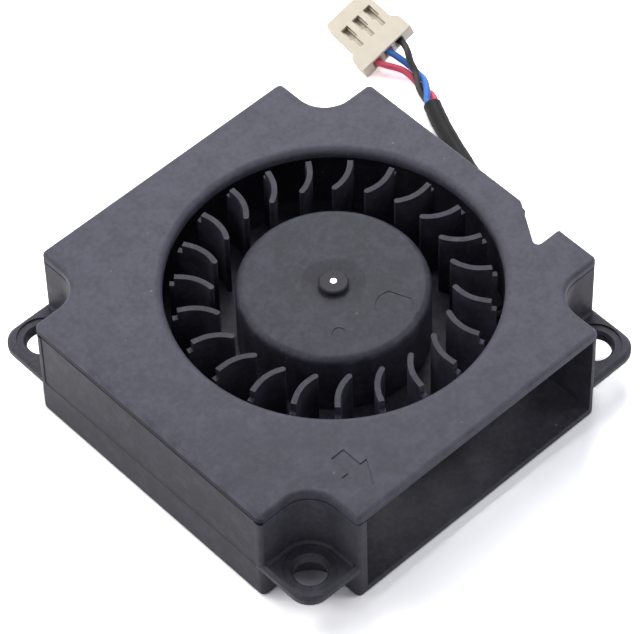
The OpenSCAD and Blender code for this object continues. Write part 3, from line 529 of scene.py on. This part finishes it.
def moulded_plastic(name, color, roughness, mottle_mm=0.45, grain_depth=0.012, dust=0.0,
                    edge_wear_and_highlight=0.0, edge_mm=0.05, side_shade_and_light=False, painted_sheen=0.0, patches=1.0, hollow_shade=False):
    """Moulded plastic with an eroded surface, mottled and softly clouded by patches. It can have a
    painted sheen towards the back with a painted highlight along the rim, painted shade on the -X
    side with painted light on its ledge, painted shade in the hollow round the boss, pale edges that
    are partly wear and partly painted highlight, and specks of dust."""
    m = Finish(name, color, roughness, specular=PLASTIC_GLOSS)
    cloud = m.noise(CLOUD_MM, detail=3)
    blotch = m.noise(BLOTCH_MM, detail=3, rough=0.6)
    mottle = m.noise(mottle_mm, detail=4, rough=0.65)
    patchy_color(m, color, patches, cloud, blotch, mottle)
    m.rough(m.times(m.math("ADD", mottle, cloud), 0.5), roughness - 0.1, roughness + 0.1)
    edge = m.round_edges(edge_mm)
    if painted_sheen:
        paint_back_sheen(m, color, painted_sheen, blotch, mottle)
        paint_rim_highlight(m, color, blotch)
    if side_shade_and_light:
        paint_side_shade_and_ledge_light(m, blotch)
    if hollow_shade:
        paint_hollow_shade(m, color)
    if edge_wear_and_highlight:
        worn_and_highlit_edges(m, color, edge_wear_and_highlight, edge, blotch)
    if dust:
        dust_specks(m, dust)
    m.bump(mottle, grain_depth)
    m.bump(m.noise(GRAIN_MM, detail=2), grain_depth * GRAIN_SHARE)
    return m.material


# ---------------------------------------------------------------- other finishes

NYLON_SPREAD = (0.9, 0.7, 0.5)
NYLON_SPREAD_MM = 0.4
NYLON_GLOW = 0.12
ENAMEL = 0.3
TURN_MM = 0.16
LAMINATION_MM = 0.35
TRACK_MM = 1.6


def metal(name, color, roughness, squeezed=None):
    """Bare metal with fine marks, shortened along the axes by the factors in squeezed."""
    m = Finish(name, color, roughness, metallic=1.0)
    marks = m.noise(size_mm=0.12, detail=3, vector=m.stretched(squeezed) if squeezed else None)
    m.tint(m.ramp(marks, 0.3, 0.7, 0, 0.4), scaled(color, 0.72))
    m.rough(marks, roughness - 0.08, roughness + 0.14)
    m.bump(marks, depth_mm=0.006)
    return m.material


def nylon(name, color, roughness=0.5):
    """Natural nylon, slightly waxy, with a soft mottle."""
    m = Finish(name, color, roughness)
    m.shader.inputs["Subsurface Weight"].default_value = NYLON_GLOW
    m.shader.inputs["Subsurface Radius"].default_value = NYLON_SPREAD
    m.shader.inputs["Subsurface Scale"].default_value = NYLON_SPREAD_MM * MM
    mottle = m.noise(size_mm=0.9, detail=4)
    m.tint(m.ramp(mottle, 0.4, 0.75, 0, 0.45), scaled(color, 0.86))
    m.rough(mottle, roughness - 0.08, roughness + 0.1)
    m.bump(m.noise(size_mm=0.12, detail=2), depth_mm=0.008)
    return m.material


def winding_copper(name):
    """Enamelled wire laid in turns, shown as fine level bands."""
    m = Finish(name, (0.52, 0.20, 0.07), 0.28, metallic=1.0, coat=ENAMEL)
    turns = m.level_bands(TURN_MM, distortion=0.4)
    m.tint(m.ramp(turns, 0, 0.5, 0.5, 0), (0.16, 0.05, 0.02))
    m.bump(turns, depth_mm=0.03)
    return m.material


def laminated_steel(name):
    """Stacked laminations, seen as fine level lines."""
    m = Finish(name, (0.30, 0.31, 0.33), 0.4, metallic=1.0)
    layers = m.level_bands(LAMINATION_MM)
    m.tint(m.ramp(layers, 0, 0.25, 0.7, 0), (0.05, 0.05, 0.055))
    m.bump(layers, depth_mm=0.02)
    return m.material


def solder_mask(name):
    """Green board with the faint relief of tracks under the mask."""
    m = Finish(name, (0.02, 0.12, 0.05), 0.35, coat=ENAMEL)
    tracks = m.node("ShaderNodeTexVoronoi", distance="MANHATTAN", feature="F1")
    tracks.inputs["Scale"].default_value = 1 / (TRACK_MM * MM)
    m.link(m.where, tracks.inputs["Vector"])
    lines = m.ramp(tracks.outputs["Distance"], 0.36, 0.42)
    m.tint(m.times(lines, 0.6), (0.05, 0.25, 0.10))
    m.bump(lines, depth_mm=0.02)
    return m.material


def wire_pvc(name, color, roughness):
    """Extruded insulation with slight smudges and a fine grain."""
    m = Finish(name, color, roughness)
    smudge = m.noise(size_mm=0.7, detail=3)
    m.tint(m.ramp(smudge, 0.4, 0.75, 0, 0.4), scaled(color, 0.7))
    m.rough(smudge, roughness - 0.06, roughness + 0.16)
    m.bump(m.noise(size_mm=0.09, detail=2), depth_mm=0.006)
    return m.material


# Base and cover get painted shade on their -X side, the cover also a painted sheen and rim highlight,
# the rotor painted shade round its boss; all get pale edges that are partly painted highlight
BASE = moulded_plastic("base plastic", (0.074, 0.0725, 0.093), 0.45, dust=0.6, edge_wear_and_highlight=0.5,
                       side_shade_and_light=True)
COVER = moulded_plastic("cover plastic", (0.076, 0.075, 0.100), 0.45, dust=0.6, edge_wear_and_highlight=0.8,
                        edge_mm=0.12, side_shade_and_light=True, painted_sheen=0.9)
ROTOR = moulded_plastic("rotor plastic", (0.052, 0.0512, 0.071), 0.42, mottle_mm=0.42,
                        grain_depth=0.018, dust=0.5, edge_wear_and_highlight=0.3, patches=1.5, hollow_shade=True)
NYLON = nylon("natural nylon", (0.72, 0.68, 0.56))
TIN = metal("tinned metal", (0.40, 0.36, 0.30), 0.45)
CHIP = moulded_plastic("chip epoxy", (0.018, 0.018, 0.019), 0.5, mottle_mm=0.1, grain_depth=0.004)
COPPER = winding_copper("winding")
COILS = 4

FINISHES = {
    "housing_base": BASE,
    "top_cover": COVER,
    "impeller": ROTOR,
    "rotor_yoke": metal("yoke steel", (0.52, 0.53, 0.55), 0.35),
    "ring_magnet": moulded_plastic("ferrite", (0.05, 0.046, 0.043), 0.6, mottle_mm=0.1,
                                   grain_depth=0.01),
    "shaft": metal("shaft steel", (0.78, 0.78, 0.78), 0.16),
    "shaft_lock_ring": NYLON,
    "bearing_tube": metal("brass", (0.66, 0.47, 0.20), 0.28, squeezed=(1, 1, 9)),
    "sleeve_bearing": metal("sintered bronze", (0.42, 0.25, 0.12), 0.5),
    "thrust_pad": NYLON,
    "oil_washer": NYLON,
    "stator_core": laminated_steel("laminations"),
    "upper_insulator": NYLON,
    "lower_insulator": NYLON,
    "circuit_board": solder_mask("circuit board"),
    "hall_sensor": CHIP,
    "motor_driver_ic": CHIP,
    "chip_capacitor": nylon("ceramic", (0.46, 0.33, 0.19)),
    "chip_resistor": CHIP,
    "winding_pins": TIN,
    "solder_joints": metal("solder", (0.66, 0.67, 0.69), 0.22),
    "inner_leads": wire_pvc("inner wires", (0.03, 0.03, 0.034), 0.35),
    "lead_red": wire_pvc("red insulation", (0.86, 0.10, 0.17), 0.38),
    "lead_blue": wire_pvc("blue insulation", (0.085, 0.27, 0.86), 0.38),
    "lead_black": wire_pvc("black insulation", (0.014, 0.014, 0.016), 0.33),
    "cable_sleeve": moulded_plastic("sleeve", (0.015, 0.015, 0.017), 0.5, mottle_mm=0.2,
                                    grain_depth=0.008),
    "connector_housing": nylon("ivory nylon", (0.98, 0.885, 0.735), 0.5),
    "connector_terminals": TIN,
}
for coil in range(1, COILS + 1):
    FINISHES[f"coil_{coil}"] = COPPER


def paint(obj, material):
    """Gives the whole object one material."""
    obj.data.materials.clear()
    obj.data.materials.append(material)


for node_name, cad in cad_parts.items():
    paint(cad, FINISHES[node_name])

# ---------------------------------------------------------------- lead

SLEEVE_GAP = 0.02
SLEEVE_T = 0.08
SLEEVE_SIDES = 40
SLEEVE_STEPS = 8
# The sleeve ends this many steps before its last row, and its lip is this much over mid-wall
SLEEVE_BACK = 1
SLEEVE_LIP = 0.02
# Each crease's height as a share of the radius, its turn per step and its start in radians
CREASES = [(0.012, 2.1, 0), (0.008, 0.9, 1)]
# Vertices closer together than this are one
WELD_M = 1e-7


def make_leads():
    """The three free wires, each one open spline from the port to the connector."""
    for color, wire in WIRES.items():
        points = [wire_point(wire, i) for i in range(ROW_EXIT, len(ROUTE))]
        lead, line = wire_curve(f"wire_{color}", points, WIRE_D)
        paint(lead, FINISHES[f"lead_{color}"])
        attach(lead, "housing")
        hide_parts(f"lead_{color}")


def tube_ring(bm, path, i, radius):
    """Ring of vertices round a point of the path, square to it and slightly creased."""
    forward = (path[min(i + 1, len(path) - 1)] - path[max(i - 1, 0)]).normalized()
    side = forward.cross(Vector((0, 0, 1))).normalized()
    rise = side.cross(forward)
    creased = radius * sum((height * math.sin(i * turn + start) for height, turn, start in CREASES),
                           start=1)
    out = []
    for k in range(SLEEVE_SIDES):
        a = 2 * math.pi * k / SLEEVE_SIDES
        out.append(bm.verts.new((path[i] + side * (creased * math.cos(a))
                                 + rise * (creased * math.sin(a))) * MM))
    return out


def make_sleeve():
    """Smooth, lightly creased shrink sleeve round the wires: an open tube with rolled ends."""
    rows = range(ROW_SLEEVE_START, ROW_SLEEVE_END + 1)
    path = smooth_path([route_point(i) for i in rows], SLEEVE_STEPS)[:-SLEEVE_BACK]
    inner = BUNDLE_R + WIRE_D / 2 + SLEEVE_GAP
    outer = inner + SLEEVE_T
    lip = (inner + outer) / 2 + SLEEVE_LIP
    last = len(path) - 1
    places = ([(0, inner), (0, lip)] + [(i, outer) for i in range(last + 1)]
              + [(last, lip)] + [(i, inner) for i in range(last, -1, -1)])
    bm = bmesh.new()
    rings = [tube_ring(bm, path, i, radius) for i, radius in places]
    for a, b in zip(rings, rings[1:]):
        for k in range(SLEEVE_SIDES):
            after = (k + 1) % SLEEVE_SIDES
            bm.faces.new((a[k], a[after], b[after], b[k]))
    bmesh.ops.remove_doubles(bm, verts=bm.verts, dist=WELD_M)
    bmesh.ops.recalc_face_normals(bm, faces=bm.faces)
    sleeve = add_mesh("shrink_sleeve", bm)
    sleeve.data.shade_smooth()
    paint(sleeve, FINISHES["cable_sleeve"])
    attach(sleeve, "housing")
    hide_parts("cable_sleeve")


make_sleeve()
make_leads()

# ---------------------------------------------------------------- floor and light

# The floor's half side in metres, and in millimetres how far it lies under the part
FLOOR_HALF_M = 3.0
FLOOR_DROP = 0.02
FLOOR_COLOR = (0.9, 0.9, 0.9)
FLOOR_SEEN = (3.0, 3.0, 3.0)
FLOOR_REFLECTED = 0.45
# Where the floor's dark patch under the part starts to fade and ends, by side and by radius, in mm
FLOOR_SIDE_EDGE = (16.0, 17.2)
FLOOR_ROUND_EDGE = (19.3, 21.3)
WORLD_LIGHT = 0.12
WORLD_TINT = (0.92, 0.94, 1.1)
WORLD_SEEN = 1.0
WHITE = (1, 1, 1)
LIGHT_SPREAD = 0.42
WARM = (1, 0.96, 0.80)

# Name, azimuth (0 is +Y, 90 is +X) and elevation in degrees, distance in metres, radiance, colour
LIGHTS = [
    ("back softbox", 45, 25, 0.30, 2.5, WHITE),
    ("back upper softbox", 45, 52, 0.20, 3.9, WHITE),
    ("back top softbox", 45, 74, 0.15, 2.7, WHITE),
    ("left back softbox", 337, 50, 0.30, 3.7, WHITE),
    ("left low softbox", 315, 9, 0.60, 4.2, WARM),
    ("left softbox", 270, 50, 0.60, 1.5, WHITE),
    ("right softbox", 135, 25, 0.60, 1.8, WHITE),
    ("right upper softbox", 135, 45, 0.30, 0.9, WHITE),
]


def seen_directly(nodes, reflected):
    """1 for the camera's own rays, and the share reflected in reflections and through glass."""
    path = nodes.node("ShaderNodeLightPath")
    seen = path.outputs["Is Camera Ray"]
    for kind in ("Is Glossy Ray", "Is Transmission Ray"):
        seen = nodes.math("MAXIMUM", seen, nodes.times(path.outputs[kind], reflected))
    return seen


def away_from_object(nodes):
    """0 under the object, so that the floor is dark through the near ear's hole, and 1 beyond."""
    place = nodes.object_place()
    size = nodes.vector_math("ABSOLUTE", place, result="Vector")
    side = nodes.math("MAXIMUM", nodes.along(size, "X"), nodes.along(size, "Y"))
    reach = nodes.vector_math("LENGTH", place)
    return nodes.math("MAXIMUM", nodes.ramp_mm(side, *FLOOR_SIDE_EDGE),
                      nodes.ramp_mm(reach, *FLOOR_ROUND_EDGE))


def floor_white():
    """Matt white that is much brighter where the camera sees it beside the object."""
    material = bpy.data.materials.new("floor")
    material.use_nodes = True
    material.node_tree.nodes.clear()
    nodes = Nodes(material.node_tree)
    output = nodes.node("ShaderNodeOutputMaterial")
    diffuse = nodes.node("ShaderNodeBsdfDiffuse")
    bright = nodes.times(seen_directly(nodes, FLOOR_REFLECTED), away_from_object(nodes))
    nodes.link(nodes.mix(bright, (*FLOOR_COLOR, 1), (*FLOOR_SEEN, 1)), diffuse.inputs["Color"])
    nodes.link(diffuse.outputs["BSDF"], output.inputs["Surface"])
    return material


def make_floor():
    """White floor, so bright to the camera that only the object's near shadows show on it."""
    bm = bmesh.new()
    bmesh.ops.create_grid(bm, x_segments=1, y_segments=1, size=FLOOR_HALF_M)
    floor = add_mesh("floor", bm)
    floor.location.z = -FLOOR_DROP * MM
    floor.data.materials.append(floor_white())


def make_world():
    """White to the camera and in reflections, and a weak cool light on the object."""
    world = bpy.data.worlds.new("studio")
    bpy.context.scene.world = world
    world.use_nodes = True
    nodes = Nodes(world.node_tree)
    background = world.node_tree.nodes["Background"]
    seen = seen_directly(nodes, 1.0)
    nodes.link(nodes.ramp(seen, 0, 1, WORLD_LIGHT, WORLD_SEEN), background.inputs["Strength"])
    nodes.link(nodes.mix(seen, (*WORLD_TINT, 1), (*WHITE, 1)), background.inputs["Color"])


def area_light(name, azimuth, elevation, distance, radiance, color):
    """Square soft light aimed at the origin, its side a fixed share of its distance."""
    size = distance * LIGHT_SPREAD
    data = bpy.data.lights.new(name, "AREA")
    data.color = color
    data.shape = "SQUARE"
    data.size = size
    data.energy = radiance * math.pi * size * size
    a = math.radians(azimuth)
    e = math.radians(elevation)
    toward = Vector((math.sin(a) * math.cos(e), math.cos(a) * math.cos(e), math.sin(e)))
    lamp = add_object(name, data)
    lamp.matrix_world = (Matrix.Translation(toward * distance)
                         @ toward.to_track_quat("Z", "Y").to_matrix().to_4x4())


make_floor()
make_world()
for light in LIGHTS:
    area_light(*light)
bpy.context.scene.view_settings.view_transform = "Standard"
